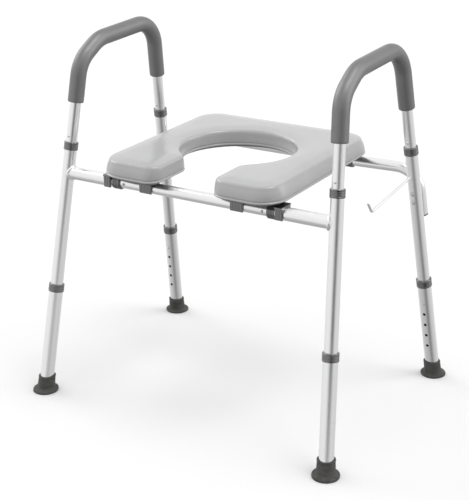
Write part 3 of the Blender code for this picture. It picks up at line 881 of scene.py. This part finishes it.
def seat_ring(outer, inner):
    """A ring of points with the same count for every pair of insets."""
    line, corners = [], seat_corners(outer, inner)
    for a, b, count in zip(corners, corners[1:] + corners[:1], SPLITS):
        line += [a.lerp(b, k / count) for k in range(count)]
    return [(spot.x, spot.y) for spot in line]


def cushion_stations():
    """Lip, seam groove, leaning side, rounded edge and crowned top of the moulded cushion."""
    low, edge_r, lean = CUSHION_LOW, CUSHION_EDGE_R, CUSHION_LEAN
    shoulder = CUSHION_HIGH - CROWN
    stations = [(0.010, 0.008, low), (0.0035, 0.0030, low), (0.0014, 0.0012, low + 0.0004),
                (0.0003, 0.0002, low + 0.0014), (0.0000, 0.0000, low + 0.0026),
                (0.0005, 0.0004, low + 0.0037), (0.0017, 0.0014, low + 0.0044),
                (0.0024, 0.0018, low + 0.0050), (0.0022, 0.0015, low + 0.0056),
                (0.0014, 0.0008, low + 0.0063), (0.0012, 0.0005, low + 0.0075)]
    start_z = low + 0.0095
    side_top = shoulder - edge_r + edge_r * math.sin(lean)
    for k in range(7):
        t = k / 6
        bulge = 0.0008 * math.sin(math.pi * t)
        stations.append((0.0014 + 0.0058 * t - bulge, 0.0005 + 0.0015 * t - bulge / 2,
                         start_z + (side_top - start_z) * t))
    outer, inner, _ = stations[-1]
    for k in range(1, 10):
        angle = lean + (math.pi / 2 - lean) * k / 9
        shift = edge_r * (math.cos(lean) - math.cos(angle))
        stations.append((outer + shift, inner + shift,
                         shoulder - edge_r + edge_r * math.sin(angle)))
    outer, inner, _ = stations[-1]
    for k in range(1, 8):
        t = k / 7
        stations.append((outer + (CROWN_INSETS[0] - outer) * t,
                         inner + (CROWN_INSETS[1] - inner) * t,
                         shoulder + CROWN * math.sin(math.pi / 2 * t)))
    return stations


stations = [(height, seat_ring(outer, inner)) for outer, inner, height in cushion_stations()]
cushion = lofted("moulded_seat_cushion", stations, SEAT, SKIN, "seat", "seat_cushion", sharp=70)

base_spots = spots("seat_base", SEAT)
base_low = min(spot.z for spot in base_spots)
base_high = max(spot.z for spot in base_spots)
stations = [(height, seat_ring(inset, inset)) for inset, height in (
    (BASE_INSET + 0.0075, base_low), (BASE_INSET + 0.0068, base_low + 0.0002),
    (BASE_INSET + 0.0006, base_high - 0.0016), (BASE_INSET, base_high - 0.0008),
    (BASE_INSET + 0.0006, base_high))]
lofted("moulded_seat_base", stations, SEAT, BLACK, "seat", "seat_base", sharp=50)


def clip_stations(outline, half, ribs):
    """A clip's outlines along its bar: thin edges, and ribs standing out round it."""
    stations = [(-half, 0.0), (-half + 0.0005, 0.0004)]
    inner_half = half - 0.0012
    for k in range(ribs):
        centre = inner_half * ((2 * k + 1) / ribs - 1)
        width = inner_half / ribs
        stations += [(centre - 0.75 * width, 0.0), (centre - 0.45 * width, CLIP_RIB),
                     (centre + 0.45 * width, CLIP_RIB), (centre + 0.75 * width, 0.0)]
    stations += [(half - 0.0005, 0.0004), (half, 0.0)]
    return [(x, outline(grow)) for x, grow in stations]


def saddle(bar_radius, rise):
    """A clip that is open below and snaps down onto its bar."""
    def outline(grow):
        inner, low = bar_radius + 0.0005, -0.75 * bar_radius
        outer = inner + CLIP_WALL + grow - 0.0004
        top = rise - GAP
        side = [(inner, low), (outer, low), (outer, top - CLIP_PLATE),
                (CLIP_PLATE_HALF, top - CLIP_PLATE), (CLIP_PLATE_HALF, top)]
        under = [(inner * math.cos(a), inner * math.sin(a))
                 for a in (math.pi * (1 - k / 24) for k in range(25))]
        return [*side, *[(-x, y) for x, y in reversed(side)], *under]
    return outline


def ring_clip(bar_radius, rise):
    """A ring round the rear bar, slit underneath, which the seat turns on."""
    def outline(grow):
        inner, outer = bar_radius + GAP, bar_radius + GAP + CLIP_WALL + 0.0006 + grow
        top, slit = rise - GAP, math.radians(4)
        shell = [(outer * math.cos(a), outer * math.sin(a))
                 for a in (-math.pi / 2 + slit + (math.pi / 2 - slit) * k / 16 for k in range(17))]
        right = [*shell, (outer, top - CLIP_PLATE), (CLIP_PLATE_HALF, top - CLIP_PLATE),
                 (CLIP_PLATE_HALF, top)]
        bore = [(inner * math.cos(a), inner * math.sin(a))
                for a in (-math.pi / 2 - slit - (2 * math.pi - 2 * slit) * k / 48
                          for k in range(49))]
        return [*right, *[(-x, y) for x, y in reversed(right)], *bore]
    return outline


front_bar = SEAT.inverted() @ Vector((0, bar_axis_y, bar_axis_z))
for side_name in SIDES:
    for kind, radius, ribs in (("side", stub_r, 3), ("middle", bar_r, 4), ("rear", bar_r, 3)):
        node = f"{kind}_seat_clip_{side_name}"
        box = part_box(node)
        centre_x, half = (box[0][0] + box[1][0]) / 2, (box[1][0] - box[0][0]) / 2
        if kind == "rear":
            spot, outline = Vector((centre_x, 0, 0)), ring_clip(radius, base_low)
        else:
            spot = Vector((centre_x, front_bar.y, front_bar.z))
            outline = saddle(radius, base_low - front_bar.z)
        place = SEAT @ frame_of((0, 1, 0), (0, 0, 1), (1, 0, 0), spot)
        lofted(f"ribbed_{node}", clip_stations(outline, half, ribs), place, COLLAR, "seat", node,
               sharp=30)


# Studio --------------------------------------------------------------------------------
CAMERA_AT = Vector((1.239697, -1.976112, 1.194367))
CAMERA_RIGHT = Vector((0.846652, 0.532040, -0.010687))
CAMERA_UP = Vector((-0.182357, 0.308941, 0.933435))
CAMERA_LENS = 88.42
FLOOR_REACH = 30.0
WORLD_STRENGTH = 0.99
NOTCH_TURN_DEG = 8           # the dark side lies a little to the right of the viewer
NOTCH_DROP = -0.30           # and below the horizon
# Curves over (1 + cosine) / 2: how dark the dark side is and where it fades with height,
# then the room's light from left to right and from floor to ceiling.
NOTCH = [(0.0, 0.0), (0.60, 0.02), (0.76, 0.08), (0.86, 0.20), (0.933, 0.50), (0.965, 0.78),
         (0.989, 0.96), (1.0, 0.98)]
NOTCH_FADE = [(0.0, 0.50), (0.20, 0.80), (0.29, 0.60), (0.38, 0.26), (0.43, 0.78), (0.46, 1.0),
              (0.72, 1.0), (1.0, 0.3)]
SIDE = [(0.0, 0.95), (0.30, 1.0), (0.55, 0.98), (0.80, 0.93), (0.95, 0.80), (1.0, 0.80)]
DOME = [(0.0, 0.40), (0.18, 0.58), (0.30, 0.86), (0.40, 0.96), (0.50, 1.0), (0.72, 1.0),
        (1.0, 0.95)]


def add_camera():
    """A long lens above the front right of the stool."""
    data = bpy.data.cameras.new("camera")
    data.lens, data.sensor_width = CAMERA_LENS, 36.0
    camera = bpy.data.objects.new("camera", data)
    bpy.context.scene.collection.objects.link(camera)
    camera.matrix_world = frame_of(CAMERA_RIGHT, CAMERA_UP, CAMERA_RIGHT.cross(CAMERA_UP),
                                   CAMERA_AT)
    bpy.context.scene.camera = camera


def add_floor():
    """A plain pale floor that takes shadows, but isn't mirrored in the tubes."""
    mesh = bpy.data.meshes.new("floor")
    corners = [(x * FLOOR_REACH, y * FLOOR_REACH, 0)
               for x, y in ((-1, -1), (1, -1), (1, 1), (-1, 1))]
    mesh.from_pydata(corners, [], [(0, 1, 2, 3)])
    n = Nodes("studio_floor")
    haze = n.noise(n.coordinates("Object", (1, 1, 1)), 0.8, 3)
    n.surface(base_color=n.tint(n.remap(haze, 0, 1), (0.795, 0.795, 0.795),
                                (0.815, 0.815, 0.815)),
              roughness=0.9, specular_ior_level=0.1)
    mesh.materials.append(n.material)
    floor = bpy.data.objects.new("floor", mesh)
    bpy.context.scene.collection.objects.link(floor)
    floor.location.z = -0.0002
    floor.visible_glossy = False
    floor.visible_diffuse = False


def add_sun(name, toward, power, spread_deg):
    """A big soft lamp so far off that it lights the whole floor evenly."""
    data = bpy.data.lights.new(name, "SUN")
    data.energy, data.angle = power, math.radians(spread_deg)
    light = bpy.data.objects.new(name, data)
    bpy.context.scene.collection.objects.link(light)
    light.rotation_euler = Vector(toward).to_track_quat("Z", "Y").to_euler()


def add_world():
    """A pale room: bright to both sides and above, darker on the viewer's side."""
    world = bpy.data.worlds.new("studio")
    n = Tree(world)
    n.tree.nodes.clear()
    source = n.add("ShaderNodeTexCoord")
    output = n.add("ShaderNodeOutputWorld")
    background = n.add("ShaderNodeBackground")
    background.inputs["Strength"].default_value = WORLD_STRENGTH
    n.link(background.outputs["Background"], output.inputs["Surface"])

    def toward(direction, points):
        """A curve over (1 + cosine) / 2 of the angle between a direction and the ray."""
        dot = n.add("ShaderNodeVectorMath", operation="DOT_PRODUCT")
        dot.inputs[1].default_value = direction
        n.link(source.outputs["Generated"], dot.inputs[0])
        share = n.add("ShaderNodeMapRange")
        share.inputs["From Min"].default_value = -1
        n.link(dot.outputs["Value"], share.inputs["Value"])
        ramp = n.add("ShaderNodeFloatCurve")
        curve = ramp.mapping.curves[0]
        curve.points[0].location, curve.points[1].location = points[0], points[-1]
        for point in points[1:-1]:
            curve.points.new(*point)
        ramp.mapping.update()
        n.link(share.outputs["Result"], ramp.inputs["Value"])
        return ramp.outputs["Value"]

    viewer = Vector((CAMERA_AT.x, CAMERA_AT.y, 0)).normalized()
    viewer.rotate(Matrix.Rotation(math.radians(NOTCH_TURN_DEG), 3, "Z"))
    viewer.z = NOTCH_DROP
    viewer.normalize()
    depth = n.maths("MULTIPLY", toward(viewer, NOTCH), toward((0, 0, 1), NOTCH_FADE))
    room = n.maths("MULTIPLY", toward(CAMERA_RIGHT, SIDE), toward((0, 0, 1), DOME))
    light = n.maths("MULTIPLY", n.maths("SUBTRACT", 1.0, depth), room)
    n.link(light, background.inputs["Color"])
    bpy.context.scene.world = world


add_camera()
add_floor()
add_world()
add_sun("key", (0.38, 0.06, 1.0), 0.66, 24)
add_sun("low", (1.0, 0.60, 0.45), 0.62, 46)
add_sun("rim", (-1.0, 0.05, 0.62), 0.70, 44)
bpy.context.scene.view_settings.view_transform = "Standard"
